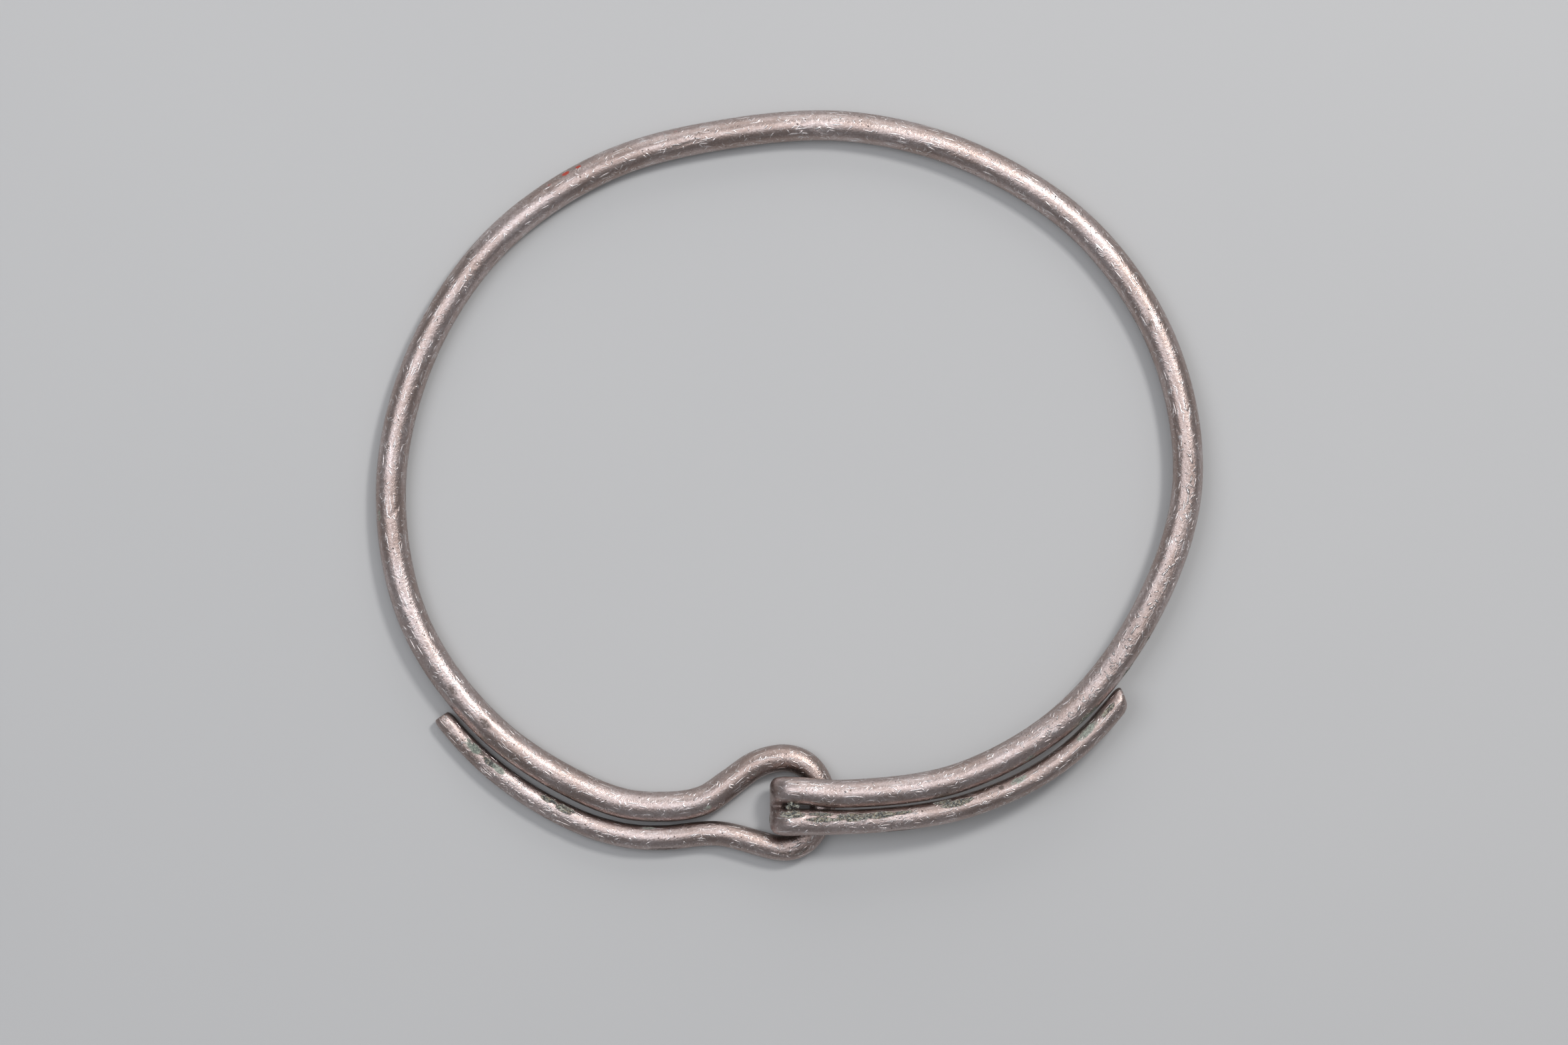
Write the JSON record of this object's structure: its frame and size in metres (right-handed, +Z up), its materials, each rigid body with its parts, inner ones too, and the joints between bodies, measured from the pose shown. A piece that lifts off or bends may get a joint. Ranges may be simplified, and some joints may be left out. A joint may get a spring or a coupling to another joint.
{
  "type": "silver neck ring (torc)",
  "caption": "Oval neck ring of one round silver rod, its ends doubled back outside the hoop and closed by a turned hook in an open eye.",
  "frame": {"origin": "on the surface the ring lies on, under the middle of its bounding box", "axes": "+X across the ring from the eye's side to the hook's side, +Y from the clasp to the back of the neck, +Z up off the surface"},
  "size_m": [0.1398, 0.127, 0.0094],
  "materials": {
    "silver": "old hand-worked silver, satin, scratched and tarnished to a warm pinkish grey, with grey-green deposits in the clasp"
  },
  "bodies": {
    "root": {"torc_rod": "silver"}
  },
  "joints": []
}
